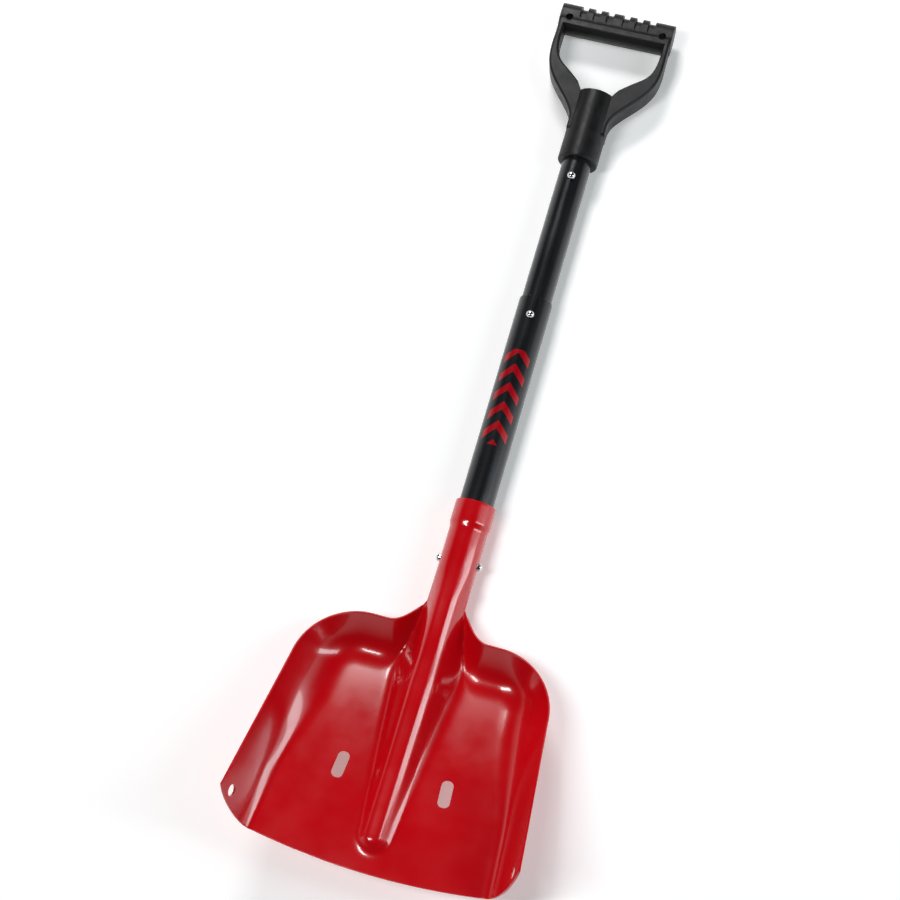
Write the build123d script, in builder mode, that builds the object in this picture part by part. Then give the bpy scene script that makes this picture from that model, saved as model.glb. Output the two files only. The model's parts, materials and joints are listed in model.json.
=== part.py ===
from build123d import *
import math
import os

os.makedirs("parts", exist_ok=True)

# Avalanche shovel: scoop with an integral socket, two-piece telescoping shaft and a D grip.
# Frame: the shovel lies on its back on Z = 0 with its shaft along Y. +Y points to the grip,
# +X to the right and +Z is the load side. "a" is the distance ahead of the socket rim,
# towards the digging edge, and heights called z are measured from the shaft axis.

# ---- driving dimensions (mm) ----
OVERALL = 860.0          # digging edge to grip top, shaft extended
REACH = 340.0            # socket rim to the digging edge
RIM_Y = REACH - OVERALL / 2
AXIS_Z = 19.5            # shaft axis above the ground: the radius of the grip collar

# shaft tubes
TUBE_WALL = 1.5
LOWER_R = 15.875         # 1 1/4 in tube
UPPER_R = 14.29          # 1 1/8 in tube
LOWER_BORE_R = LOWER_R - TUBE_WALL
UPPER_BORE_R = UPPER_R - TUBE_WALL
# shaft stations are distances from the socket rim towards the grip
LOWER_START = -90.0
LOWER_END = 205.5        # clear of the grip collar when the shaft is collapsed
UPPER_START = 126.0
UPPER_END = 414.0
LOCK_STATION = 186.4     # extension lock hole
TELESCOPE_TRAVEL = 147.0
COMPACT_STATION = LOCK_STATION + TELESCOPE_TRAVEL
RELEASE_STATION = -55.2  # pair of buttons that hold the blade
TUBE_CHAMFER = 0.4

# scoop
SHEET = 1.7
SOCKET_CLEARANCE = 0.075
SOCKET_BORE_R = LOWER_R + SOCKET_CLEARANCE
SOCKET_R = SOCKET_BORE_R + SHEET
COLLAR_R = 18.9
COLLAR_LENGTH = 19.0
COLLAR_TAPER = 7.0
SOCKET_END_A = 112.0
SOCKET_OPENS_A = 100.0   # where the socket's underside starts to slope away
SOCKET_TONGUE_Z = 4.0
SOCKET_SPARE = 1.0
MOUTH_A = 300.0          # widest station
MOUTH_HALF = 127.2
SIDE_TAPER = 0.0975      # half width lost for each millimetre back from the mouth
REAR_A = 122.5           # rear edge of the shoulders
CORNER_R = 50.0          # rear corners in plan
WING_X = 46.0            # where the rear edge starts to run up to the socket
WING_REACH = 26.0
REAR_RIM_Z = 8.0
RIM_RISE = 0.375
LIP_Z = 30.0
LIP_SLOPE = 0.14
PAN_CURVE = 0.00055
HEEL_Z = -17.6
HEEL_BLEND = 2.0         # how gradually the pan settles to the heel
WALL_WIDTH = 30.0        # plan width of the bend from the pan to the rim
WALL_POWER = 2.4
WALL_BLEND = 1.5
MEET_POWER = 4           # how tightly the hump and the walls run into each other
RIM_SPARE = 3.0          # how far the raw sheet stands above the rim before trimming
CREST_LIFT = 0.4         # how far the ridge starts above the socket
CREST_Z = SOCKET_R + CREST_LIFT
CREST_RISE = 0.09
CREST_A = 130.0
CREST_BLEND = 12.0
NECK_A = 170.0           # where the hump starts to narrow towards its nose
NOSE_A = 308.0
HUMP_POWER = 3
HUMP_B_NECK = 20.0
HUMP_B_NOSE = 14.5
SLOT_X = 47.5
SLOT_A = 257.2
SLOT_LENGTH = 23.5
SLOT_WIDTH = 10.6
SLOT_CORNER = 4.6
SLOT_LEAN = 4.0          # degrees, the tops lean to the centre line
CORNER_HOLE_X = 122.4
CORNER_HOLE_A = 306.4
CORNER_HOLE_R = 5.2
CORNER_HOLE_CUT = 8.0    # half length of the cutter through the wall

# raw sheet and the lines that it is trimmed to
GRID = 101               # points each way across the raw sheet
SHEET_BACK = 95.0
SHEET_FRONT = REACH + 4.0
SIDE_SPARE = 1.5
RIM_START_A = 80.0
RIM_INSET = 0.6          # the rim line starts just inside the socket's flank
RIM_TURN_A = MOUTH_A + 3.0
RIM_DROP = (320.0, 57.0)     # the rim line's way down to the lip: a and height from the axis
RIM_FOOT = (331.0, 34.5)
RIM_FOOT_SLOPE = (-0.25, -1)
LIP_MIDDLE = (54.0, 337.6)   # the digging edge: x and a
LIP_CORNER = (104.0, 331.6)
LIP_TURN = (118.5, 321.5)
LIP_SPARE = 1.0
CLEAR_A = 400.0          # well ahead of the scoop
FAR = 200.0              # past every face of the shovel
SLOPE_STEP = 0.05

# snap buttons and their leaf springs
BUTTON_R = 3.95
BUTTON_HOLE_R = 4.1
BUTTON_FLANGE_R = 5.0
LEAF = 0.6
LEAF_WIDTH = 8.0
LEAF_REACH = 34.0        # from a button to the spring's bend
FLANGE = 1.0             # thickness of the button flange
LOCK_STANDOFF = 2.9      # how far the shaft buttons stand out of the lower tube
RELEASE_STANDOFF = 4.2   # how far the blade buttons stand out of the socket
FLANGE_GAP = 0.15
TIP_ROUND = 3.6
LEAF_FLAT = 6.0          # straight length of a leaf each side of its button
SPRING_BACK_GAP = 0.1
LEAF_TAIL = 2.0          # how far the back leg runs past the button
LOCK_BENDS = (4, 3)
RELEASE_BENDS = (4, 3, 3, 4)
RELEASE_FOLD_HALF = 3.5

# grip
GRIP_START = 353.5
GRIP_TOP = OVERALL - REACH
GRIP_THICK = 24.0
ARM_HALF = AXIS_Z - 0.5      # half width where the arms leave the collar
ARM_START = 385.0
# arm outlines as x and station
ARM_OUTSIDE = [(ARM_HALF, 392), (25.2, 409), (43.5, 431), (54.4, 452), (56.3, 472), (56, 492)]
ARM_INSIDE = [(21.5, 436), (32, 445), (44.5, 456.5), (49.6, 474), (49.8, 494)]
ARM_INSIDE_SLOPE = (0.75, 0.65)
ARM_ROUND = 2.2
OPENING_START = 426.0
OPENING_HALF = 15.5
BAR_THICK = 25.0
BAR_HEIGHT = 30.0
BAR_HALF = 56.5
BAR_ROUND = 12.4
COLLAR_EDGE_ROUND = 1.8
LASH_X = 46.8
LASH_R = 3.6
LASH_DROP = 19.0
FLUTE_X = (8.0, 21.0, 34.0)
FLUTE_R = 3.4
FLUTE_DEPTH = 3.0
FLUTE_LENGTH = 19.0


def shaft_y(station):
    """Row Y of a station measured from the socket rim towards the grip."""
    return RIM_Y + station


def soft_max(p, q, blend):
    return (p + q + math.sqrt((p - q) ** 2 + blend**2)) / 2


def soft_min(p, q, blend):
    return (p + q - math.sqrt((p - q) ** 2 + blend**2)) / 2


# ---- shape of the pressed sheet, load side ----
def pan_height(a):
    back = REACH - a
    return soft_max(LIP_Z - LIP_SLOPE * back - PAN_CURVE * back**2, HEEL_Z, HEEL_BLEND)


def rim_height(a):
    return REAR_RIM_Z + RIM_RISE * (a - REAR_A)


def half_width(a):
    return MOUTH_HALF - SIDE_TAPER * (MOUTH_A - a)


def rear_edge(x):
    share = min(max((abs(x) - SOCKET_R) / (WING_X - SOCKET_R), 0.0), 1.0)
    return REAR_A - WING_REACH * (1 - share) ** 2


def rim_distance(x, a):
    """Plan distance in from the rim, with the rear corners rounded."""
    side = half_width(a) - abs(x)
    rear = a - rear_edge(x)
    return CORNER_R - math.hypot(max(CORNER_R - side, 0.0), max(CORNER_R - rear, 0.0))


def wall_rise(x, a):
    full = rim_height(a) - pan_height(a)
    share = max(1 - rim_distance(x, a) / WALL_WIDTH, 0.0)
    return soft_min(full * share**WALL_POWER, full + RIM_SPARE, WALL_BLEND)


def hump_rise(x, a):
    station = min(a, NOSE_A)
    crest = CREST_Z + CREST_RISE * soft_max(station - CREST_A, 0.0, CREST_BLEND)
    share = min(max((station - NECK_A) / (NOSE_A - NECK_A), 0.0), 1.0)
    breadth = HUMP_B_NECK + (HUMP_B_NOSE - HUMP_B_NECK) * share
    away = math.hypot(x, max(a - NOSE_A, 0.0))
    return (crest - pan_height(station)) * math.exp(-((away / breadth) ** HUMP_POWER))


def sheet_height(x, a):
    wall = max(wall_rise(x, a), 0.0)
    rise = (hump_rise(x, a) ** MEET_POWER + wall**MEET_POWER) ** (1 / MEET_POWER)
    return pan_height(a) + rise


def sheet_point(x, a):
    return Vector(x, RIM_Y - a, AXIS_Z + sheet_height(x, a))


def even(low, high, count):
    return [low + (high - low) * i / (count - 1) for i in range(count)]


sheet_rows = [
    [sheet_point(share * (half_width(a) + SIDE_SPARE), a) for share in even(-1, 1, GRID)]
    for a in even(SHEET_BACK, SHEET_FRONT, GRID)
]
load_side = Face.make_surface_from_array_of_points(sheet_rows, tol=0.5, min_deg=3, max_deg=3)


# ---- trimming tools of the scoop ----
def side_plane(x):
    """Sketch plane across X whose local axes are row Y and row Z."""
    return Plane(origin=(x, 0, 0), x_dir=(0, 1, 0), z_dir=(1, 0, 0))


def side_point(a, z):
    """Point of a side view: distance ahead of the rim and height from the shaft axis."""
    return (RIM_Y - a, AXIS_Z + z)


def rim_point(a):
    return side_point(a, rim_height(a))


def plan_point(x, a):
    return (x, RIM_Y - a)


# everything above the rim line, seen from the side, on the right half
with BuildPart() as above_rim:
    with BuildSketch(side_plane(SOCKET_R - RIM_INSET)):
        with BuildLine():
            Line(rim_point(RIM_START_A), rim_point(RIM_TURN_A))
            Spline(
                rim_point(RIM_TURN_A),
                side_point(*RIM_DROP),
                side_point(*RIM_FOOT),
                tangents=((-1, -RIM_RISE), RIM_FOOT_SLOPE),
            )
            Polyline(
                side_point(*RIM_FOOT),
                side_point(CLEAR_A, RIM_FOOT[1]),
                side_point(CLEAR_A, FAR),
                side_point(RIM_START_A, FAR),
                rim_point(RIM_START_A),
            )
        make_face()
    extrude(amount=FAR)

# everything ahead of the digging edge, seen from above, on the right half
lip_side = (MOUTH_HALF + LIP_SPARE, MOUTH_A)
with BuildPart() as beyond_lip:
    with BuildSketch(Plane.XY.offset(-AXIS_Z)):
        with BuildLine():
            ThreePointArc(plan_point(0, REACH), plan_point(*LIP_MIDDLE), plan_point(*LIP_CORNER))
            ThreePointArc(plan_point(*LIP_CORNER), plan_point(*LIP_TURN), plan_point(*lip_side))
            Polyline(
                plan_point(*lip_side),
                plan_point(FAR, MOUTH_A),
                plan_point(FAR, CLEAR_A),
                plan_point(0, CLEAR_A),
                plan_point(0, REACH),
            )
        make_face()
    extrude(amount=FAR)


def wall_normal(x, a):
    """Unit normal of the load side at a point, from the slopes of the height."""
    slope_x = (sheet_height(x + SLOPE_STEP, a) - sheet_height(x - SLOPE_STEP, a)) / (2 * SLOPE_STEP)
    slope_y = (sheet_height(x, a - SLOPE_STEP) - sheet_height(x, a + SLOPE_STEP)) / (2 * SLOPE_STEP)
    return Vector(-slope_x, -slope_y, 1).normalized()


def shaft_plane(station, facing=(0, 1, 0)):
    """Sketch plane at a station of the shaft axis."""
    return Plane(origin=(0, shaft_y(station), AXIS_Z), z_dir=facing)


# ---- scoop with its socket: one pressed and rolled sheet ----
trims = [above_rim.part, beyond_lip.part]
trims += [mirror(trim, Plane.YZ) for trim in trims]
trimmed_side = load_side.cut(*trims)

with BuildPart() as socket:
    with BuildSketch(side_plane(0)):
        with BuildLine():
            Polyline(
                (shaft_y(0), AXIS_Z + COLLAR_R - SHEET),
                (shaft_y(0), AXIS_Z + COLLAR_R),
                (shaft_y(-COLLAR_LENGTH), AXIS_Z + COLLAR_R),
                (shaft_y(-COLLAR_LENGTH - COLLAR_TAPER), AXIS_Z + SOCKET_R),
                (shaft_y(-SOCKET_END_A), AXIS_Z + SOCKET_R),
                (shaft_y(-SOCKET_END_A), AXIS_Z + SOCKET_BORE_R),
                (shaft_y(-COLLAR_LENGTH - COLLAR_TAPER), AXIS_Z + SOCKET_BORE_R),
                (shaft_y(-COLLAR_LENGTH), AXIS_Z + COLLAR_R - SHEET),
                close=True,
            )
        make_face()
    revolve(axis=Axis((0, 0, AXIS_Z), (0, 1, 0)))
    with BuildSketch(side_plane(-FAR / 2)):
        with BuildLine():
            Polyline(
                (shaft_y(-SOCKET_OPENS_A), 0),
                (shaft_y(-SOCKET_END_A) - SOCKET_SPARE, AXIS_Z + SOCKET_TONGUE_Z),
                (shaft_y(-SOCKET_END_A) - SOCKET_SPARE, 0),
                close=True,
            )
        make_face()
    extrude(amount=FAR, mode=Mode.SUBTRACT)

with BuildPart() as blade:
    thicken(trimmed_side, amount=SHEET, normal_override=(0, 0, -1))
    add(socket.part)
    with BuildSketch(shaft_plane(-SOCKET_END_A - SOCKET_SPARE)):
        Circle(SOCKET_BORE_R)
    extrude(amount=SOCKET_END_A + SOCKET_SPARE - COLLAR_LENGTH - COLLAR_TAPER, mode=Mode.SUBTRACT)
    with BuildSketch(shaft_plane(RELEASE_STATION, (1, 0, 0))):
        Circle(BUTTON_HOLE_R)
    extrude(amount=FAR / 4, both=True, mode=Mode.SUBTRACT)
    for side in (-1, 1):
        with BuildSketch(Plane.XY):
            with Locations(Location((side * SLOT_X, RIM_Y - SLOT_A, 0), (0, 0, side * SLOT_LEAN))):
                RectangleRounded(SLOT_WIDTH, SLOT_LENGTH, SLOT_CORNER)
        extrude(amount=FAR / 2, mode=Mode.SUBTRACT)
        hole_at = sheet_point(side * CORNER_HOLE_X, CORNER_HOLE_A)
        with BuildSketch(Plane(origin=hole_at, z_dir=wall_normal(side * CORNER_HOLE_X, CORNER_HOLE_A))):
            Circle(CORNER_HOLE_R)
        extrude(amount=CORNER_HOLE_CUT, both=True, mode=Mode.SUBTRACT)

# ---- shaft tubes ----
def tube(start, end, radius, bore):
    """A plain tube along the shaft axis with its outer end edges broken."""
    with BuildPart() as pipe:
        with BuildSketch(shaft_plane(start)):
            Circle(radius)
            Circle(bore, mode=Mode.SUBTRACT)
        extrude(amount=end - start)
        chamfer(pipe.edges().filter_by(GeomType.CIRCLE).group_by(SortBy.RADIUS)[-1], TUBE_CHAMFER)
    return pipe.part


lower_pipe = tube(LOWER_START, LOWER_END, LOWER_R, LOWER_BORE_R)
upper_pipe = tube(UPPER_START, UPPER_END, UPPER_R, UPPER_BORE_R)

with BuildPart() as lower_tube:
    add(lower_pipe)
    with BuildSketch(shaft_plane(LOCK_STATION, (0, 0, 1))):
        Circle(BUTTON_HOLE_R)
    extrude(amount=FAR / 4, mode=Mode.SUBTRACT)
    with BuildSketch(shaft_plane(RELEASE_STATION, (1, 0, 0))):
        Circle(BUTTON_HOLE_R)
    extrude(amount=FAR / 4, both=True, mode=Mode.SUBTRACT)

with BuildPart() as upper_tube:
    add(upper_pipe)
    for station in (LOCK_STATION, COMPACT_STATION):
        with BuildSketch(shaft_plane(station, (0, 0, 1))):
            Circle(BUTTON_HOLE_R)
        extrude(amount=FAR / 4, mode=Mode.SUBTRACT)


# ---- snap buttons: flange inside the bore, shank through the walls, domed tip ----
def seat_radius(bore):
    """How far from the axis the flange's face can stand inside a bore."""
    return math.sqrt(bore**2 - BUTTON_FLANGE_R**2) - FLANGE_GAP


def snap_button(station, facing, bore, tip):
    seat = seat_radius(bore)
    base = Vector(0, shaft_y(station), AXIS_Z)
    out = Vector(*facing)
    with BuildPart() as button:
        with BuildSketch(Plane(origin=base + out * (seat - FLANGE), z_dir=out)):
            Circle(BUTTON_FLANGE_R)
        extrude(amount=FLANGE)
        with BuildSketch(Plane(origin=base + out * seat, z_dir=out)):
            Circle(BUTTON_R)
        extrude(amount=tip - seat)
        fillet(button.edges().sort_by(Axis(tuple(base), facing))[-1], TIP_ROUND)
    return button.part


lock_tip = LOWER_R + LOCK_STANDOFF
release_tip = SOCKET_R + RELEASE_STANDOFF
buttons = {
    "extension_lock_button": snap_button(LOCK_STATION, (0, 0, 1), UPPER_BORE_R, lock_tip),
    "compact_lock_button": snap_button(COMPACT_STATION, (0, 0, 1), UPPER_BORE_R, lock_tip),
    "release_button_left": snap_button(RELEASE_STATION, (-1, 0, 0), LOWER_BORE_R, release_tip),
    "release_button_right": snap_button(RELEASE_STATION, (1, 0, 0), LOWER_BORE_R, release_tip),
}


# ---- leaf springs: a folded strip that pushes the buttons out ----
def strip(plane, points, radii):
    """A folded strip of spring steel drawn edge-on in a plane."""
    with BuildPart() as leaf:
        with BuildSketch(plane):
            with BuildLine():
                FilletPolyline(*points, radius=radii)
            trace(line_width=LEAF)
        extrude(amount=LEAF_WIDTH / 2, both=True)
    return leaf.part


def lock_spring(station):
    leg = AXIS_Z + seat_radius(UPPER_BORE_R) - FLANGE - LEAF / 2
    back = AXIS_Z - seat_radius(UPPER_BORE_R) - SPRING_BACK_GAP
    y = shaft_y(station)
    points = [(y - LEAF_FLAT, leg), (y + LEAF_FLAT, leg), (y + LEAF_REACH, AXIS_Z), (y - LEAF_TAIL, back)]
    return strip(side_plane(0), points, LOCK_BENDS)


release_leg = seat_radius(LOWER_BORE_R) - FLANGE - LEAF / 2
release_y = shaft_y(RELEASE_STATION)
release_points = [
    (-release_leg, release_y - LEAF_FLAT),
    (-release_leg, release_y + LEAF_FLAT),
    (-RELEASE_FOLD_HALF, release_y + LEAF_REACH),
    (RELEASE_FOLD_HALF, release_y + LEAF_REACH),
    (release_leg, release_y + LEAF_FLAT),
    (release_leg, release_y - LEAF_FLAT),
]
springs = {
    "extension_lock_spring": lock_spring(LOCK_STATION),
    "compact_lock_spring": lock_spring(COMPACT_STATION),
    "release_spring": strip(Plane.XY.offset(AXIS_Z), release_points, RELEASE_BENDS),
}


# ---- D grip: one moulding with its collar, two arms and a cross bar ----
def at(x, station):
    return (x, shaft_y(station))


bar_station = GRIP_TOP - BAR_HEIGHT / 2

# finger flutes: they follow the bar's rounded section over its top edge
flute_floor_height = BAR_HEIGHT - 2 * FLUTE_DEPTH
flute_floor_thick = BAR_THICK - 2 * FLUTE_DEPTH
with BuildPart() as flutes:
    with BuildSketch(Plane.XY.offset(AXIS_Z)):
        with Locations(*[at(side * x, GRIP_TOP) for x in FLUTE_X for side in (-1, 1)]):
            SlotCenterToCenter(2 * (FLUTE_LENGTH - FLUTE_R), 2 * FLUTE_R, rotation=90)
    extrude(amount=BAR_THICK, both=True)
    with BuildSketch(side_plane(0)):
        with Locations((shaft_y(bar_station), AXIS_Z)):
            RectangleRounded(flute_floor_height, flute_floor_thick, BAR_ROUND - FLUTE_DEPTH)
    extrude(amount=BAR_HALF, both=True, mode=Mode.SUBTRACT)

arm_outer_end = ARM_OUTSIDE[-1]
arm_inner_end = ARM_INSIDE[-1]
with BuildPart() as grip:
    with BuildSketch(Plane.XY.offset(AXIS_Z)):
        with BuildLine():
            Polyline(at(0, ARM_START), at(ARM_HALF, ARM_START), at(*ARM_OUTSIDE[0]))
            Spline(*[at(*point) for point in ARM_OUTSIDE], tangents=((0, 1), (0, 1)))
            Polyline(at(*arm_outer_end), at(arm_outer_end[0], bar_station), at(0, bar_station))
            mirror(about=Plane.YZ)
        make_face()
        with BuildLine():
            Polyline(at(0, OPENING_START), at(OPENING_HALF, OPENING_START), at(*ARM_INSIDE[0]))
            Spline(*[at(*point) for point in ARM_INSIDE], tangents=(ARM_INSIDE_SLOPE, (0, 1)))
            Line(at(*arm_inner_end), at(0, arm_inner_end[1]))
            mirror(about=Plane.YZ)
        make_face(mode=Mode.SUBTRACT)
    extrude(amount=GRIP_THICK / 2, both=True)
    fillet(grip.edges().filter_by(GeomType.BSPLINE), ARM_ROUND)
    with BuildSketch(shaft_plane(GRIP_START)):
        Circle(AXIS_Z)
    extrude(amount=OPENING_START - GRIP_START)
    fillet(grip.edges().filter_by(GeomType.CIRCLE).sort_by(Axis.Y)[0], COLLAR_EDGE_ROUND)
    with BuildSketch(side_plane(0)):
        with Locations((shaft_y(bar_station), AXIS_Z)):
            RectangleRounded(BAR_HEIGHT, BAR_THICK, BAR_ROUND)
    extrude(amount=BAR_HALF, both=True)
    with BuildSketch(Plane.XY.offset(AXIS_Z - FAR / 2)):
        with Locations(*[at(side * LASH_X, GRIP_TOP - LASH_DROP) for side in (-1, 1)]):
            Circle(LASH_R)
    extrude(amount=FAR, mode=Mode.SUBTRACT)
    add(flutes.part, mode=Mode.SUBTRACT)
    with BuildSketch(shaft_plane(GRIP_START)):
        Circle(UPPER_R)
    extrude(amount=UPPER_END - GRIP_START, mode=Mode.SUBTRACT)

# ---- write every piece ----
pieces = {
    "blade": blade.part,
    "lower_tube": lower_tube.part,
    "upper_tube": upper_tube.part,
    "grip": grip.part,
}
pieces.update(buttons)
pieces.update(springs)
for name, solid in pieces.items():
    solid.label = name
    export_step(solid, f"parts/{name}.step")
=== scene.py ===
"""Looks of the avalanche shovel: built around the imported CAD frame, in metres."""
import json
import math

import bmesh
import bpy
import numpy as np
from mathutils import Euler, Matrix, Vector


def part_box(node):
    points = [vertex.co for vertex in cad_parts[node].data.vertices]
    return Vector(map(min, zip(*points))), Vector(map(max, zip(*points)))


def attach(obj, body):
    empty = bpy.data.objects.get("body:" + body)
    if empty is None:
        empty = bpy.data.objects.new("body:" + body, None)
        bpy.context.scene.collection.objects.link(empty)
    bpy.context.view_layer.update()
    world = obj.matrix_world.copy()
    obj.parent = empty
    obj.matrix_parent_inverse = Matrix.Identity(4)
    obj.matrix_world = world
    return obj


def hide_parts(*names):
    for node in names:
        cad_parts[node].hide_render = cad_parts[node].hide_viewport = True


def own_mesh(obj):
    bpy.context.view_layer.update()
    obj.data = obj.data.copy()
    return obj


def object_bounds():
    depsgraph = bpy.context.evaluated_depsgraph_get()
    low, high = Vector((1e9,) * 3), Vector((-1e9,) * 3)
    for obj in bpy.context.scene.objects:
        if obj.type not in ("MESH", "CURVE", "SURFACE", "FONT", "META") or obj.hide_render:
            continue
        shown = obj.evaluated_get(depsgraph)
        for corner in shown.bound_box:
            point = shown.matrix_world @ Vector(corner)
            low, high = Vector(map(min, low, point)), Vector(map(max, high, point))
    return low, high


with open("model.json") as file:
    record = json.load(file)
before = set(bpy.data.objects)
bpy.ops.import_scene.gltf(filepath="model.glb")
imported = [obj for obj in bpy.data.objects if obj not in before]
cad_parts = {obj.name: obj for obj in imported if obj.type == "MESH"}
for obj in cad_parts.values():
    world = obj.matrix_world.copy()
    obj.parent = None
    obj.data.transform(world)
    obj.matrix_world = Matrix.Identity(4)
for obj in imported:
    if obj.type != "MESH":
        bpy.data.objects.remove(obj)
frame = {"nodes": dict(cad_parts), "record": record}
cad_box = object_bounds()
nodes = frame["nodes"]

# ---- stations taken from the frame ----
lower_low, lower_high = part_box("lower_tube")
AXIS_Z = (lower_low[2] + lower_high[2]) / 2
RIM_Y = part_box("blade")[1][1]            # the socket's rim is the blade's end toward the grip


# ---- shape of the pressed scoop: mm from the socket rim (a) and from the shaft axis (z) ----
MM = 0.001
REACH = 340.0
SHEET = 1.7
SOCKET_R = 17.65
COLLAR_R = 18.9
COLLAR_LENGTH = 19.0
COLLAR_TAPER = 7.0
NECK_A = 96.5            # where the socket opens into the scoop
MORPH_A = 60.0           # where the socket's round top starts to turn into the ridge
TONGUE = 10.0            # how far the socket's underside runs on past the neck
MOUTH_A = 300.0
MOUTH_HALF = 127.2
SIDE_TAPER = 0.0975
REAR_A = 122.5
CORNER_R = 50.0
WING_X = 46.0
REAR_RIM_Z = 8.0
RIM_RISE = 0.375
LIP_Z = 30.0
LIP_SLOPE = 0.14
PAN_CURVE = 0.00055
HEEL_Z = -17.6
HEEL_BLEND = 2.0
WALL_SIDE = 30.0         # plan width of the bend along the sides
WALL_REAR = 46.0         # and round the rear corners, which are bowls
WALL_TURN_A = 190.0      # from here the rear width changes into the side width
WALL_TURN_LENGTH = 90.0
WALL_POWER = 2.4
CREST_Z = SOCKET_R + 0.4
CREST_RISE = 0.082
CREST_A = 130.0
CREST_BLEND = 12.0
HUMP_NECK_A = 170.0
NOSE_A = 308.0
HUMP_B_NECK = 20.0
HUMP_B_NOSE = 11.5
HUMP_POWER = 3           # how square the ridge's section is
JOIN_POWER = 4           # how tightly the ridge and the walls run into each other
LIP_X = 104.0            # where the digging edge turns into the front corner
LIP_BOW = 8.4
LIP_TURN = 24.2
LIP_TURN_POWER = 1.7
RELEASE_A = 55.2
BUTTON_HOLE_R = 4.1
SLOT_WIDTH = 10.6
SLOT_LENGTH = 23.5
SLOT_CORNER = 4.6
SLOT_X = 47.5
SLOT_A = 257.2
SLOT_LEAN = 4.0          # degrees, the slots' front ends further apart
SLOT_CUT_HEIGHT = 40.0   # middle of the slots' cutters above the ground
SLOT_CUT = 50.0          # half lengths of the cutters
SOCKET_CUT = 30.0
CORNER_CUT = 8.0
NECK_ROWS_A = 170.0      # rows of points are closest together behind this
LIP_ROWS_A = 292.0       # and closer again ahead of this
CHECK_ROW = 40           # a row of points well inside the scoop
EDGE_ROUND = 0.5
SHARP = math.radians(40)


def smooth(t):
    t = np.clip(t, 0.0, 1.0)
    return t * t * (3 - 2 * t)


def soft_max(p, q, blend):
    return (p + q + np.sqrt((p - q) ** 2 + blend**2)) / 2


def pan_height(a):
    back = REACH - a
    return soft_max(LIP_Z - LIP_SLOPE * back - PAN_CURVE * back**2, HEEL_Z, HEEL_BLEND)


def rim_height(a):
    return REAR_RIM_Z + RIM_RISE * (a - REAR_A)


def half_width(a):
    return MOUTH_HALF - SIDE_TAPER * (MOUTH_A - a)


def rear_edge(x):
    share = np.clip((np.abs(x) - SOCKET_R) / (WING_X - SOCKET_R), 0.0, 1.0)
    return REAR_A - (REAR_A - NECK_A) * (1 - share) ** 2


def rounded_rear(x, a):
    """The rear edge with its corners rounded into the sides."""
    side = np.clip(CORNER_R - (half_width(a) - np.abs(x)), 0.0, CORNER_R)
    return rear_edge(x) + CORNER_R - np.sqrt(CORNER_R**2 - side**2)


def wall_rise(x, a):
    side = np.maximum(CORNER_R - (half_width(a) - np.abs(x)), 0.0)
    rear = np.maximum(CORNER_R - (a - rear_edge(x)), 0.0)
    inward = CORNER_R - np.hypot(side, rear)
    width = WALL_REAR + (WALL_SIDE - WALL_REAR) * smooth((a - WALL_TURN_A) / WALL_TURN_LENGTH)
    share = np.clip(1 - inward / width, 0.0, 1.0)
    return (rim_height(a) - pan_height(a)) * share**WALL_POWER


def hump_rise(x, a):
    station = np.minimum(a, NOSE_A)
    crest = CREST_Z + CREST_RISE * soft_max(station - CREST_A, 0.0, CREST_BLEND)
    share = np.clip((station - HUMP_NECK_A) / (NOSE_A - HUMP_NECK_A), 0.0, 1.0)
    breadth = HUMP_B_NECK + (HUMP_B_NOSE - HUMP_B_NECK) * share
    away = np.hypot(x, np.maximum(a - NOSE_A, 0.0))
    return (crest - pan_height(station)) * np.exp(-((away / breadth) ** HUMP_POWER))


def sheet_height(x, a):
    walls = np.maximum(wall_rise(x, a), 0.0)
    return pan_height(a) + (hump_rise(x, a) ** JOIN_POWER + walls**JOIN_POWER) ** (1 / JOIN_POWER)


def front_edge(x):
    x = np.abs(x)
    bow = REACH - LIP_BOW * (np.minimum(x, LIP_X) / LIP_X) ** 2
    turn = np.clip((x - LIP_X) / LIP_TURN, 0.0, 1.0)
    return MOUTH_A + (bow - MOUTH_A) * (1 - turn**LIP_TURN_POWER) ** (1 / LIP_TURN_POWER)


def placed(x, a, z):
    """Row-frame points in metres from scoop coordinates in mm."""
    x, a, z = np.broadcast_arrays(x, a, z)
    return np.stack([x * MM, RIM_Y - a * MM, AXIS_Z + z * MM], axis=-1)


def scoop_rows():
    """Load side of the scoop, one row of points across it for each station."""
    angles = np.radians(np.linspace(-90, 90, 41))
    centre = SOCKET_R * np.sin(angles)
    inner = np.linspace(0, 0.5, 19)[1:]
    outer = 0.5 + 0.5 * np.sin(np.radians(np.linspace(0, 90, 31)[1:]))
    share = np.concatenate([inner, outer])
    share = np.concatenate([-share[::-1], np.zeros(len(centre)), share])
    wing = len(inner) + len(outer)
    middle = np.concatenate([np.full(wing, -SOCKET_R), centre, np.full(wing, SOCKET_R)])
    stations = np.concatenate([
        np.arange(NECK_A, NECK_ROWS_A, 1.4),
        np.arange(NECK_ROWS_A, LIP_ROWS_A, 2.5),
        np.linspace(LIP_ROWS_A, REACH, 34),
    ])
    rows = []
    for along in (stations - NECK_A) / (REACH - NECK_A):
        a = NECK_A + along * (REACH - NECK_A) + 0 * share
        # a point's station and its place across depend on each other, so they settle by turns
        for _ in range(40):
            x = middle + share * (half_width(a) - SOCKET_R)
            start = np.where(share == 0, NECK_A, rounded_rear(x, a))
            a = 0.5 * a + 0.5 * (start + along * (front_edge(x) - start))
        rows.append(placed(x, a, sheet_height(x, a)))
    return rows, wing, len(centre)


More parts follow.
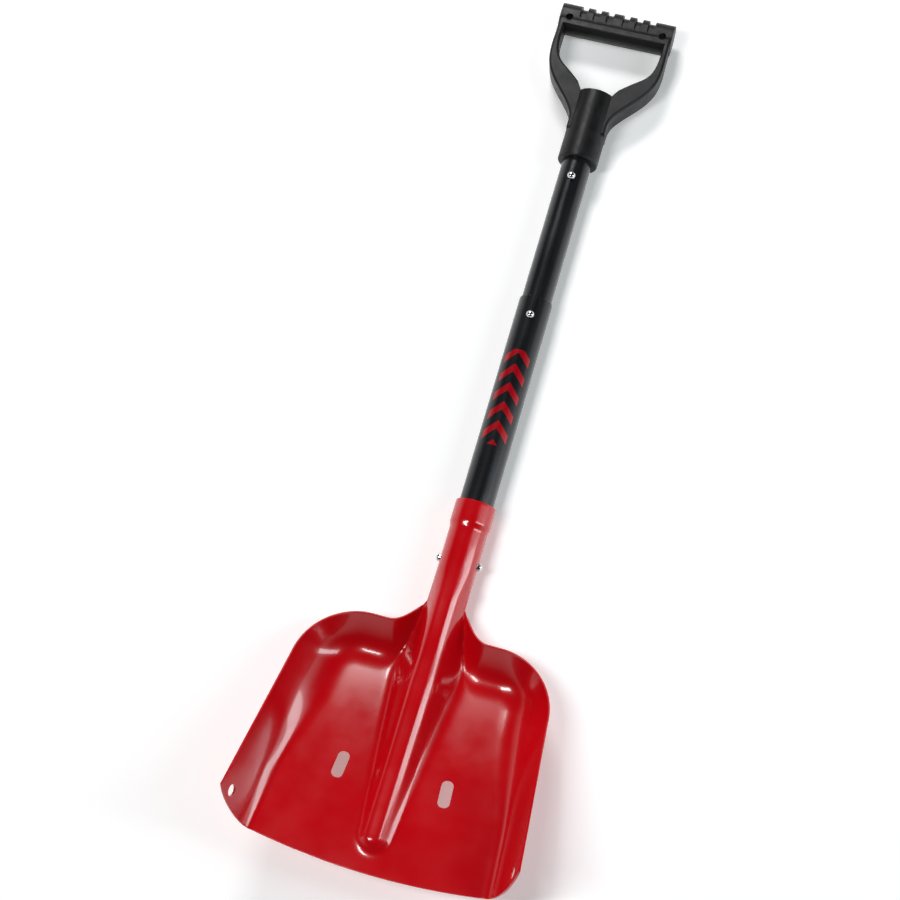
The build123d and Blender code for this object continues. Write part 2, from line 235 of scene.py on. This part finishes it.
def socket_rows(count):
    """Full rings of the socket; their upper halves end in the scoop's ridge."""
    top = np.linspace(-90, 90, count)
    bottom = np.linspace(90, 270, count)[1:-1]
    angles = np.radians(np.concatenate([top, bottom]))
    stations = np.concatenate([np.linspace(0, 17, 8), np.linspace(18, 28, 11), np.linspace(30, NECK_A, 32)])
    upper = np.cos(angles) >= -1e-9
    rows = []
    for a in stations:
        radius = SOCKET_R + (COLLAR_R - SOCKET_R) * (1 - smooth((a - COLLAR_LENGTH) / COLLAR_TAPER))
        turned = smooth((a - MORPH_A) / (NECK_A - MORPH_A))
        x = radius * np.sin(angles)
        round_z = radius * np.cos(angles)
        edge_lift = sheet_height(SOCKET_R, NECK_A) * np.sin(angles) ** 8
        target = np.where(upper, sheet_height(x, NECK_A), round_z + edge_lift)
        tongue = np.where(upper, 0.0, TONGUE * np.cos(angles) ** 2) * turned
        rows.append(placed(x, a + tongue, round_z + turned * (target - round_z)))
    return rows


def linked(name, data):
    made = bpy.data.objects.new(name, data)
    bpy.context.collection.objects.link(made)
    return made


def mesh_of(name, shape):
    mesh = bpy.data.meshes.new(name)
    shape.to_mesh(mesh)
    shape.free()
    return mesh


def smooth_shaded(mesh):
    mesh.shade_smooth()
    mesh.set_sharp_from_angle(angle=SHARP)
    return mesh


def skin(shape, near, far, closed):
    """Faces between two rows of points."""
    for i in range(len(near) if closed else len(near) - 1):
        j = (i + 1) % len(near)
        shape.faces.new([near[i], near[j], far[j], far[i]])


def piece(name, mesh, material, body, replaced):
    made = linked(name, mesh)
    if not mesh.materials:
        mesh.materials.append(material)
    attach(made, body)
    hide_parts(*replaced)
    return made


def applied(source):
    """The object's mesh with its modifiers applied; the object goes."""
    graph = bpy.context.evaluated_depsgraph_get()
    mesh = bpy.data.meshes.new_from_object(source.evaluated_get(graph))
    bpy.data.objects.remove(source)
    return mesh


def prism(outline, place, axis, length):
    """A cutter: an outline of (x, y) swept both ways along an axis."""
    turn = Vector((0, 0, 1)).rotation_difference(Vector(axis)).to_matrix()
    shape = bmesh.new()
    rings = []
    for end in (-length, length):
        rings.append([shape.verts.new(turn @ Vector((x, y, end)) + Vector(place)) for x, y in outline])
    skin(shape, rings[0], rings[1], closed=True)
    shape.faces.new(rings[0][::-1])
    shape.faces.new(rings[1])
    return linked("cutter", mesh_of("cutter", shape))


def circle(radius, count=48):
    angles = [2 * math.pi * i / count for i in range(count)]
    return [(radius * math.cos(angle), radius * math.sin(angle)) for angle in angles]


def rounded_slot(width, length, corner, lean):
    """Outline of a slot along y, turned by the lean."""
    points = []
    for quarter, (sx, sy) in enumerate(((1, 1), (-1, 1), (-1, -1), (1, -1))):
        for step in range(10):
            angle = math.pi / 2 * (quarter + step / 9)
            x = sx * (width / 2 - corner) + corner * math.cos(angle)
            y = sy * (length / 2 - corner) + corner * math.sin(angle)
            points.append((x * math.cos(lean) - y * math.sin(lean), x * math.sin(lean) + y * math.cos(lean)))
    return points


def scoop_cutters():
    """Cutters for the release buttons' holes, the two slots and the two corner holes."""
    button_hole = circle(BUTTON_HOLE_R * MM)
    cutters = [prism(button_hole, (0, RIM_Y - RELEASE_A * MM, AXIS_Z), (1, 0, 0), SOCKET_CUT * MM)]
    for side in (-1, 1):
        lean = math.radians(side * SLOT_LEAN)
        outline = rounded_slot(SLOT_WIDTH * MM, SLOT_LENGTH * MM, SLOT_CORNER * MM, lean)
        place = (side * SLOT_X * MM, RIM_Y - SLOT_A * MM, SLOT_CUT_HEIGHT * MM)
        cutters.append(prism(outline, place, (0, 0, 1), SLOT_CUT * MM))
    for mount in frame["record"]["mounts"]:
        if mount["name"].startswith("corner_hole"):
            outline = circle(mount["dims"]["r_mm"] * MM)
            cutters.append(prism(outline, mount["pos_m"], mount["axis"], CORNER_CUT * MM))
    return cutters


def load_side():
    """One surface: rings of the socket run on into the ridge, and the wings join at the neck."""
    rows, wing, count = scoop_rows()
    rings = socket_rows(count)
    shape = bmesh.new()
    grid = [[shape.verts.new(point) for point in row] for row in rows]
    neck = grid[0][wing:wing + count]
    tube = [[shape.verts.new(point) for point in ring] for ring in rings[:-1]]
    tube.append(neck + [shape.verts.new(point) for point in rings[-1][count:]])
    for near, far in zip(tube, tube[1:]):
        skin(shape, near, far, closed=True)
    for near, far in zip(grid, grid[1:]):
        skin(shape, near, far, closed=False)
    bmesh.ops.recalc_face_normals(shape, faces=shape.faces)
    if grid[CHECK_ROW][wing + count // 2].link_faces[0].normal.z < 0:
        bmesh.ops.reverse_faces(shape, faces=shape.faces)
    return linked("raw_scoop", mesh_of("scoop", shape))


def pressed(surface):
    """The surface with its thickness, its holes and its softened edges."""
    thick = surface.modifiers.new("thick", "SOLIDIFY")
    thick.thickness = SHEET * MM
    thick.offset = -1
    thick.use_even_offset = True
    cutters = scoop_cutters()
    for cutter in cutters:
        cut = surface.modifiers.new("hole", "BOOLEAN")
        cut.object = cutter
        cut.operation = "DIFFERENCE"
        cut.solver = "EXACT"
    soft = surface.modifiers.new("soft_edges", "BEVEL")
    soft.width = EDGE_ROUND * MM
    soft.segments = 3
    soft.limit_method = "ANGLE"
    soft.angle_limit = math.radians(50)
    mesh = applied(surface)
    for cutter in cutters:
        bpy.data.objects.remove(cutter)
    return mesh


def make_scoop(material):
    sheet = smooth_shaded(pressed(load_side()))
    return piece("scoop_sheet", sheet, material, "blade", ["blade"])


# ---- node helpers ----
class Shader:
    """A material whose nodes are added one by one around its Principled shader."""

    def __init__(self, name):
        self.material = bpy.data.materials.new(name)
        self.material.use_nodes = True
        self.tree = self.material.node_tree
        self.surface = self.tree.nodes["Principled BSDF"]
        self.place = self.node("ShaderNodeTexCoord").outputs["Object"]

    def node(self, kind, **settings):
        made = self.tree.nodes.new(kind)
        for key, value in settings.items():
            setattr(made, key, value)
        return made

    def join(self, source, target):
        self.tree.links.new(source, target)

    def stretched(self, scale):
        mapping = self.node("ShaderNodeMapping")
        mapping.inputs["Scale"].default_value = scale
        self.join(self.place, mapping.inputs["Vector"])
        return mapping.outputs["Vector"]

    def noise(self, scale, detail=3.0, stretch=(1, 1, 1)):
        made = self.node("ShaderNodeTexNoise")
        made.inputs["Scale"].default_value = scale
        made.inputs["Detail"].default_value = detail
        self.join(self.stretched(stretch), made.inputs["Vector"])
        return made.outputs["Fac"]

    def span(self, source, low, high, start=0.3, end=0.7):
        """The source's values from start to end, spread over low to high."""
        made = self.node("ShaderNodeMapRange")
        made.inputs["From Min"].default_value = start
        made.inputs["From Max"].default_value = end
        made.inputs["To Min"].default_value = low
        made.inputs["To Max"].default_value = high
        self.join(source, made.inputs["Value"])
        return made.outputs["Result"]

    def blend(self, share, first, second):
        made = self.node("ShaderNodeMix", data_type="RGBA")
        for socket, colour in ((made.inputs[6], first), (made.inputs[7], second)):
            if isinstance(colour, tuple):
                socket.default_value = (*colour, 1)
            else:
                self.join(colour, socket)
        self.join(share, made.inputs[0])
        return made.outputs[2]

    def bump(self, heights):
        """Bumps one on another: (height, strength, distance in metres)."""
        normal = None
        for height, strength, distance in heights:
            made = self.node("ShaderNodeBump")
            made.inputs["Strength"].default_value = strength
            made.inputs["Distance"].default_value = distance
            self.join(height, made.inputs["Height"])
            if normal is not None:
                self.join(normal, made.inputs["Normal"])
            normal = made.outputs["Normal"]
        self.join(normal, self.surface.inputs["Normal"])

    def colour(self, source):
        self.join(source, self.surface.inputs["Base Color"])

    def roughness(self, source):
        self.join(source, self.surface.inputs["Roughness"])

    def set(self, **values):
        for key, value in values.items():
            self.surface.inputs[key.replace("_", " ")].default_value = value


def red_paint():
    """Gloss powder coat: slow shifts of red, fine orange peel, faint rubbed patches."""
    shader = Shader("red_paint")
    depth = shader.span(shader.noise(9, 4), 0, 1)
    shader.colour(shader.blend(depth, (0.50, 0.0, 0.004), (0.60, 0.001, 0.006)))
    shader.roughness(shader.span(shader.noise(38, 6), 0.17, 0.27))
    shader.bump([(shader.noise(420, 2), 0.05, 0.0004), (shader.noise(26, 2), 0.05, 0.001)])
    shader.set(Coat_Weight=0.6, Coat_Roughness=0.06, Specular_IOR_Level=0.5)
    return shader.material


CHEVRON_LOW = RIM_Y + 0.055      # plain printed chevrons on the load side of the lower tube
CHEVRON_HIGH = RIM_Y + 0.150
CHEVRON_PITCH = 0.019
CHEVRON_HALF = 0.0115
CHEVRON_SHARE = 0.42      # how much of the pitch is printed


def black_anodised(name, printed):
    """Anodised aluminium tube: drawn lines along the shaft and slightly uneven gloss."""
    shader = Shader(name)
    lines = shader.noise(900, 3, stretch=(1, 0.012, 1))
    tone = shader.blend(shader.span(lines, 0, 1), (0.006, 0.0065, 0.008), (0.014, 0.015, 0.018))
    if printed:
        tone = shader.blend(chevrons(shader), tone, (0.42, 0.0, 0.006))
    shader.colour(tone)
    shader.roughness(shader.span(shader.noise(60, 5, stretch=(1, 0.2, 1)), 0.2, 0.34))
    shader.bump([(lines, 0.06, 0.0002)])
    shader.set(Metallic=0.25, Coat_Weight=0.35, Coat_Roughness=0.12)
    return shader.material


def chevrons(shader):
    """1 inside the printed chevrons and 0 outside them, from the place on the tube."""
    split = shader.node("ShaderNodeSeparateXYZ")
    shader.join(shader.place, split.inputs["Vector"])

    def maths(operation, first, second):
        made = shader.node("ShaderNodeMath", operation=operation)
        for socket, value in zip(made.inputs, (first, second)):
            if isinstance(value, (int, float)):
                socket.default_value = value
            else:
                shader.join(value, socket)
        return made.outputs[0]

    across = maths("ABSOLUTE", split.outputs["X"], 0)
    along = maths("ADD", split.outputs["Y"], across)
    step = maths("FLOORED_MODULO", along, CHEVRON_PITCH)
    bars = maths("LESS_THAN", step, CHEVRON_PITCH * CHEVRON_SHARE)
    limits = [
        maths("LESS_THAN", across, CHEVRON_HALF),
        maths("GREATER_THAN", split.outputs["Y"], CHEVRON_LOW),
        maths("LESS_THAN", split.outputs["Y"], CHEVRON_HIGH),
        maths("GREATER_THAN", split.outputs["Z"], AXIS_Z),
    ]
    for limit in limits:
        bars = maths("MULTIPLY", bars, limit)
    return bars


def moulded_nylon():
    """Satin black nylon with the fine grain of its mould."""
    shader = Shader("moulded_nylon")
    share = shader.span(shader.noise(30, 4), 0, 1)
    shader.colour(shader.blend(share, (0.0025, 0.0025, 0.003), (0.005, 0.005, 0.0055)))
    shader.roughness(shader.span(shader.noise(140, 4), 0.36, 0.5))
    shader.bump([(shader.noise(1500, 2), 0.12, 0.0002), (shader.noise(60, 2), 0.04, 0.0006)])
    shader.set(Specular_IOR_Level=0.32)
    return shader.material


def bright_plate():
    """Plated steel buttons with hairline wear."""
    shader = Shader("bright_plate")
    wear = shader.noise(500, 5)
    shader.colour(shader.blend(shader.span(wear, 0, 1), (0.62, 0.64, 0.66), (0.8, 0.81, 0.83)))
    shader.roughness(shader.span(wear, 0.09, 0.2))
    shader.bump([(shader.noise(1800, 2), 0.04, 0.0001)])
    shader.set(Metallic=1.0)
    return shader.material


def spring_steel():
    """Rolled strip: fine grain along the strip and oil-dark patches."""
    shader = Shader("spring_steel")
    grain = shader.noise(1200, 3, stretch=(1, 0.05, 1))
    shader.colour(shader.blend(shader.span(grain, 0, 1), (0.34, 0.34, 0.35), (0.52, 0.52, 0.54)))
    shader.roughness(shader.span(shader.noise(80, 4), 0.28, 0.42))
    shader.bump([(grain, 0.08, 0.0001)])
    shader.set(Metallic=1.0)
    return shader.material


FLOOR_GLOW = 0.22


def pale_floor():
    """Matt white, faintly lit from within."""
    shader = Shader("pale_floor")
    share = shader.span(shader.noise(3, 4), 0, 1)
    shader.colour(shader.blend(share, (0.95, 0.95, 0.95), (0.97, 0.97, 0.97)))
    shader.roughness(shader.span(shader.noise(12, 4), 0.6, 0.75))
    shader.set(Emission_Color=(1, 1, 1, 1), Emission_Strength=FLOOR_GLOW)
    return shader.material


FINISHES = {
    "blade": red_paint(),
    "lower_tube": black_anodised("black_anodised_printed", True),
    "upper_tube": black_anodised("black_anodised", False),
    "grip": moulded_nylon(),
}
plate = bright_plate()
steel = spring_steel()
for name, node in nodes.items():
    finish = FINISHES.get(name) or (plate if "button" in name else steel)
    node.data.materials.clear()
    node.data.materials.append(finish)


# ---- snap buttons: domed heads turned on a lathe ----
BUTTON_R = 3.95 * MM
FLANGE_R = 5.0 * MM
FLANGE = 1.0 * MM
DOME = 3.6 * MM
DOME_STEPS = 14
BUTTON_EDGE = 0.1 * MM
BUTTON_SIDES = 64


def button_profile(seat, tip):
    """(radius, height) from the tip down to the flange and back to the axis."""
    dome = []
    for step in range(DOME_STEPS + 1):
        angle = math.pi / 2 * step / DOME_STEPS
        dome.append((BUTTON_R - DOME + DOME * math.sin(angle), tip - DOME + DOME * math.cos(angle)))
    foot = [
        (BUTTON_R, seat),
        (FLANGE_R - BUTTON_EDGE, seat),
        (FLANGE_R, seat - BUTTON_EDGE),
        (FLANGE_R, seat - FLANGE),
    ]
    return [(0, tip)] + dome + foot + [(0, seat - FLANGE)]


def turned(profile, centre, turn):
    """The profile turned about its axis, which the turn points and the centre places."""
    shape = bmesh.new()
    rings = []
    for radius, height in profile:
        ring = []
        for i in range(1 if radius == 0 else BUTTON_SIDES):
            angle = 2 * math.pi * i / BUTTON_SIDES
            point = Vector((radius * math.cos(angle), radius * math.sin(angle), height))
            ring.append(shape.verts.new(centre + turn @ point))
        rings.append(ring)
    for near, far in zip(rings, rings[1:]):
        for i in range(BUTTON_SIDES):
            j = (i + 1) % BUTTON_SIDES
            corners = [near[i % len(near)], far[i % len(far)], far[j % len(far)], near[j % len(near)]]
            shape.faces.new(list(dict.fromkeys(corners)))
    bmesh.ops.recalc_face_normals(shape, faces=shape.faces)
    return shape


def make_button(node, body, facing):
    """A head in the place of the CAD button, and the point on the shaft's axis under it."""
    low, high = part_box(node)
    facing = Vector(facing)
    centre = Vector((0, (low[1] + high[1]) / 2, AXIS_Z))
    ends = [abs(Vector(corner).dot(facing) - centre.dot(facing)) for corner in (low, high)]
    profile = button_profile(min(ends) + FLANGE, max(ends))
    turn = Vector((0, 0, 1)).rotation_difference(facing).to_matrix()
    mesh = smooth_shaded(mesh_of(node + "_head", turned(profile, centre, turn)))
    return piece(node + "_head", mesh, plate, body, [node]), centre


extension_head, extension_centre = make_button("extension_lock_button", "extension_button", (0, 0, 1))
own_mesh(extension_head)
make_button("compact_lock_button", "compact_button", (0, 0, 1))
make_button("release_button_left", "release_left", (-1, 0, 0))
make_button("release_button_right", "release_right", (1, 0, 0))

make_scoop(FINISHES["blade"])

# ---- camera at the photograph's viewing angle ----
CAMERA_LENS = 68.12
CAMERA_SENSOR = 36.0
CAMERA_PLACE = (0.19831, -0.46398, 1.50936)
CAMERA_TURN = (17.3895, 4.1960, 16.2651)     # degrees about X, Y and Z
camera_data = bpy.data.cameras.new("camera")
camera_data.lens = CAMERA_LENS
camera_data.sensor_width = CAMERA_SENSOR
camera = linked("camera", camera_data)
camera.location = CAMERA_PLACE
camera.rotation_euler = Euler([math.radians(angle) for angle in CAMERA_TURN], "XYZ")
bpy.context.scene.camera = camera

# ---- floor and soft studio light ----
FLOOR_HALF = 14.0
FLOOR_GAP = 0.0005
floor_mesh = bpy.data.meshes.new("floor")
corners = [(x * FLOOR_HALF, y * FLOOR_HALF, 0) for x, y in ((-1, -1), (1, -1), (1, 1), (-1, 1))]
floor_mesh.from_pydata(corners, [], [(0, 1, 2, 3)])
floor_mesh.materials.append(pale_floor())
floor = linked("floor", floor_mesh)
floor.location = (0, 0, cad_box[0][2] - FLOOR_GAP)


def softbox(name, place, aim, size, power, colour=(1, 1, 1)):
    """A rectangular light of a size in metres and a power in watts, turned to what it aims at."""
    data = bpy.data.lights.new(name, "AREA")
    data.shape = "RECTANGLE"
    data.size, data.size_y = size
    data.energy = power
    data.color = colour
    lamp = linked(name, data)
    lamp.location = place
    lamp.rotation_euler = (Vector(aim) - Vector(place)).to_track_quat("-Z", "Y").to_euler()


softbox("strip_left", (-0.75, -0.55, 1.9), (0, -0.2, 0), (0.3, 0.9), 19)
softbox("strip_far", (-0.55, 1.5, 1.5), (0, 0, 0), (0.6, 0.4), 19)
softbox("strip_right", (1.5, 0.1, 0.9), (0, 0, 0), (0.3, 1.6), 12, (0.85, 0.96, 1.0))

# the sky is dark overhead, which keeps upward gloss deep, and bright near the horizon
ZENITH = 0.02
HORIZON = 0.9
SKY_LOW = 0.1            # sine of the height where the darkening starts
SKY_HIGH = 0.5           # and where it ends
world = bpy.data.worlds.new("studio")
world.use_nodes = True
sky = world.node_tree
sky.nodes["Background"].inputs["Color"].default_value = (1, 1, 1, 1)
direction = sky.nodes.new("ShaderNodeTexCoord").outputs["Generated"]
split = sky.nodes.new("ShaderNodeSeparateXYZ")
sky.links.new(direction, split.inputs["Vector"])
ramp = sky.nodes.new("ShaderNodeMapRange")
ramp.interpolation_type = "SMOOTHSTEP"
ramp.inputs["From Min"].default_value = SKY_LOW
ramp.inputs["From Max"].default_value = SKY_HIGH
ramp.inputs["To Min"].default_value = HORIZON
ramp.inputs["To Max"].default_value = ZENITH
sky.links.new(split.outputs["Z"], ramp.inputs["Value"])
sky.links.new(ramp.outputs["Result"], sky.nodes["Background"].inputs["Strength"])
bpy.context.scene.world = world
bpy.context.scene.view_settings.view_transform = "Standard"
